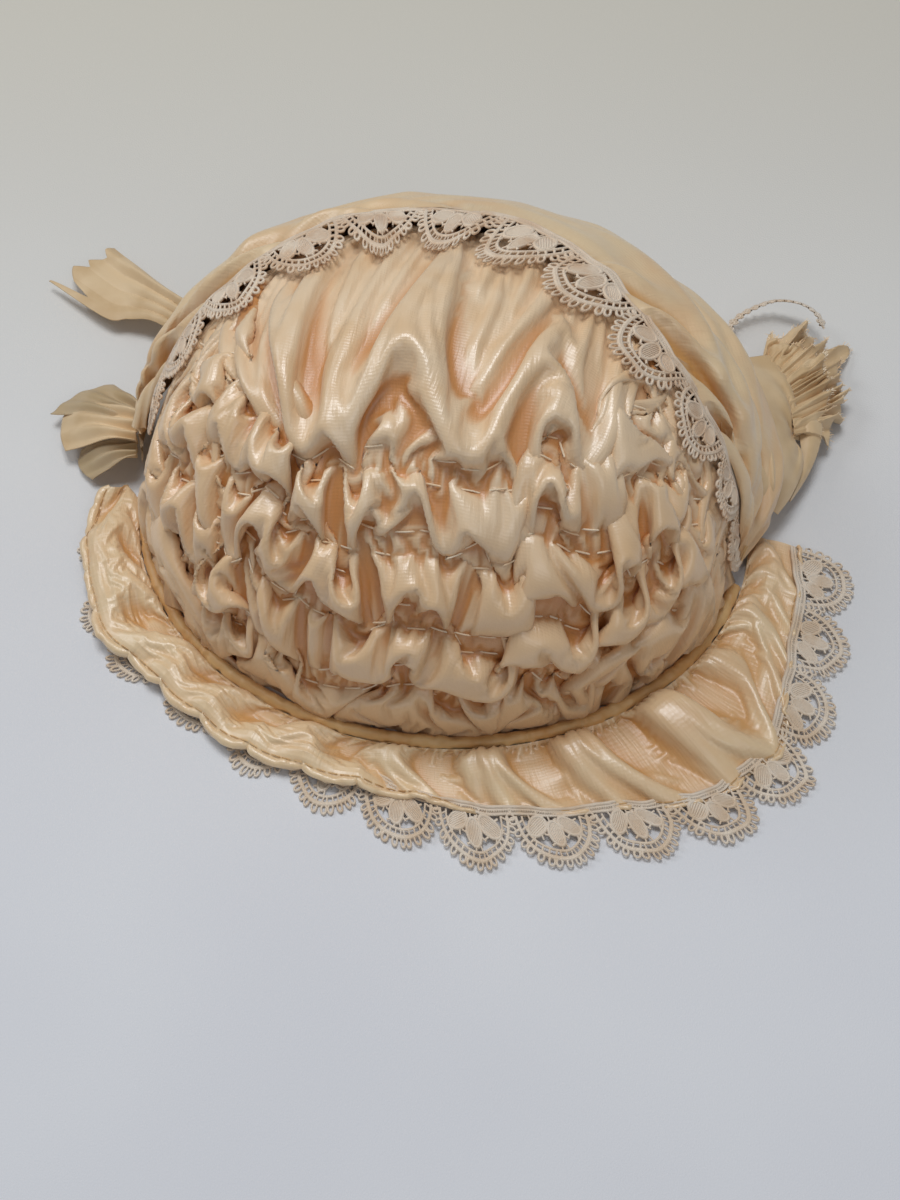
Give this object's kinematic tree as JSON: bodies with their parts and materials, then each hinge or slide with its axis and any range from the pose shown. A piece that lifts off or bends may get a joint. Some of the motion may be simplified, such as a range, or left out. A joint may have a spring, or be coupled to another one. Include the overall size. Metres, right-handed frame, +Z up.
{
  "type": "christening bonnet",
  "caption": "Infant's gathered satin bonnet with a puffed crown, lace-edged face and nape frills and ribbon trims, lying on its opening.",
  "frame": {"origin": "on the surface that the bonnet lies on, under the middle of its outline seen from above", "axes": "+Z up out of the back of the crown, -Y towards the face opening's frill, +X towards the side with the rosette, along the longest side"},
  "size_m": [0.224, 0.1921, 0.0861],
  "materials": {
    "satin": "aged cream silk satin, glossy",
    "cord_satin": "tan satin piping",
    "lace": "beige cotton lace, matt",
    "ribbon": "straw-coloured silk ribbon, soft sheen"
  },
  "bodies": {
    "root": {"crown": "satin", "face_piping": "cord_satin", "face_frill": "satin", "face_lace": "lace", "nape_frill": "satin", "nape_lace": "lace", "right_flap": "ribbon", "right_rosette": "ribbon", "right_loop": "lace", "left_tail": "ribbon", "left_bow": "ribbon"}
  },
  "joints": []
}
